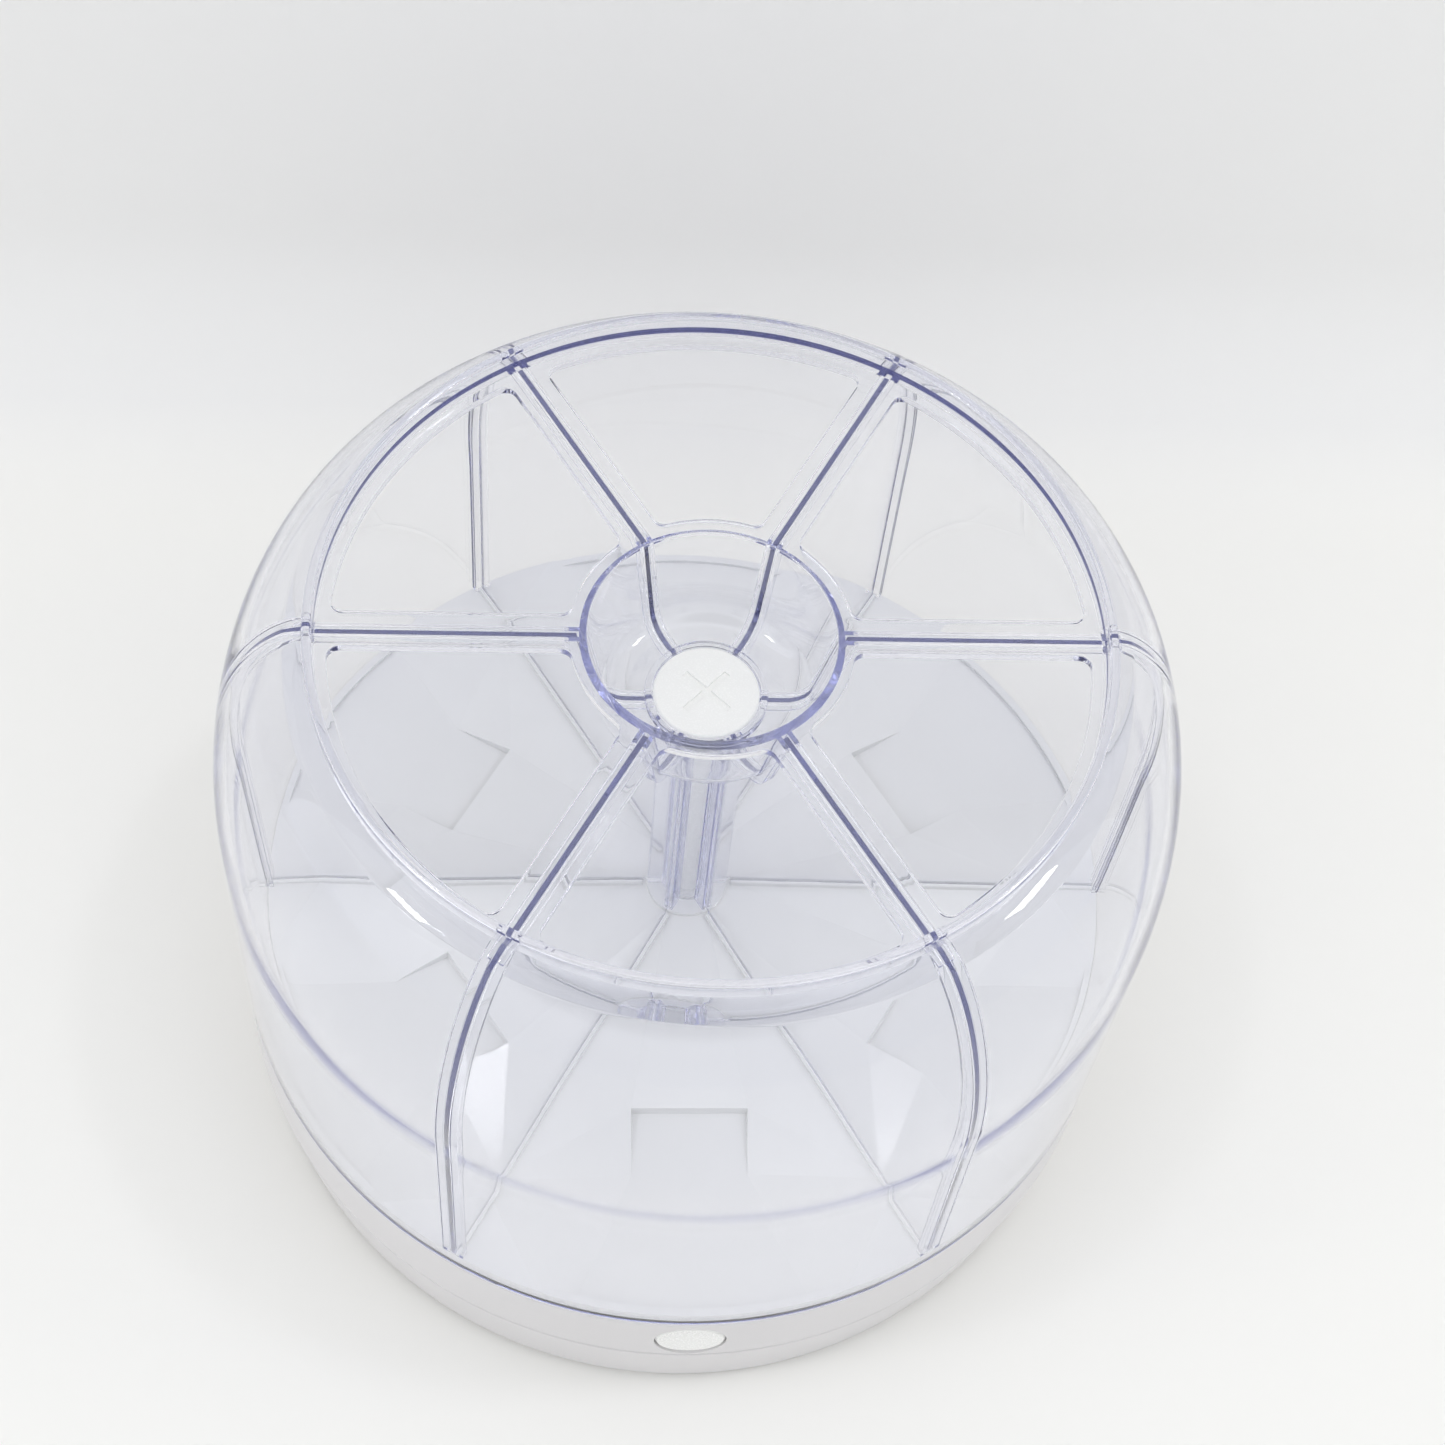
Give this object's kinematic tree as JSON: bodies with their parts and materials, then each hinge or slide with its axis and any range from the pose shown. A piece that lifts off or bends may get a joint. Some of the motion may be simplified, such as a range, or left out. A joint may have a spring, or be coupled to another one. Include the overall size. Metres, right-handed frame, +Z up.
{
  "type": "turntable tool caddy",
  "caption": "Clear round organiser drum with wedge compartments, open windows and a centre well, turning on a low white base with a push button.",
  "frame": {"origin": "on the turning axis, on the surface that the feet stand on", "axes": "+Z up along the turning axis, -Y towards the push button, +X to the right as seen from the button side"},
  "size_m": [0.2512, 0.2512, 0.195],
  "materials": {
    "clear_plastic": "clear gloss",
    "white_body": "satin",
    "white_trim": "gloss",
    "white_floor": "gloss",
    "bearing_plastic": "matte",
    "steel": "satin",
    "rubber": "matte"
  },
  "bodies": {
    "base": {"base_foot": "white_body", "base_housing": "white_body", "base_screws": "steel", "rubber_feet": "rubber", "bushing": "bearing_plastic", "lower_race": "steel", "button_spring": "steel", "lock_pin_spring": "steel"},
    "drum": {"turntable_plate": "white_body", "upper_race": "steel", "retaining_washer": "steel", "lower_nut": "steel", "floor_tray": "white_floor", "divider_column": "clear_plastic", "divider_1": "clear_plastic", "divider_2": "clear_plastic", "divider_3": "clear_plastic", "divider_4": "clear_plastic", "divider_5": "clear_plastic", "divider_6": "clear_plastic", "drum_wall": "clear_plastic", "drum_shoulder": "clear_plastic", "spoke_frame": "clear_plastic", "centre_well": "clear_plastic", "tie_rod": "white_trim", "upper_washer": "steel", "upper_nut": "steel", "centre_cap": "white_trim"},
    "cage": {"ball_cage": "bearing_plastic", "bearing_balls": "steel"},
    "button": {"push_button": "white_trim"},
    "pin": {"lock_pin": "steel"}
  },
  "joints": [
    {"name": "drum_turn", "type": "hinge", "parent": "base", "child": "drum", "pos_m": [0, 0, 0.045], "axis": [0, 0, 1], "continuous": true},
    {"name": "cage_turn", "type": "hinge", "parent": "base", "child": "cage", "pos_m": [0, 0, 0.0425], "axis": [0, 0, 1], "continuous": true},
    {"name": "button_press", "type": "slide", "parent": "base", "child": "button", "axis": [0, 1, 0], "range_m": [0, 0.004], "stiffness_N_per_m": 500, "springref_m": -0.003, "deforming": ["button_spring"]},
    {"name": "pin_lift", "type": "slide", "parent": "base", "child": "pin", "axis": [0, 0, 1], "range_m": [0, 0.004], "stiffness_N_per_m": 200, "springref_m": -0.002, "deforming": ["lock_pin_spring"]}
  ],
  "couplings": [
    {"joint": "cage_turn", "follows": "drum_turn", "ratio": 0.5},
    {"joint": "pin_lift", "follows": "button_press", "ratio": 1}
  ]
}
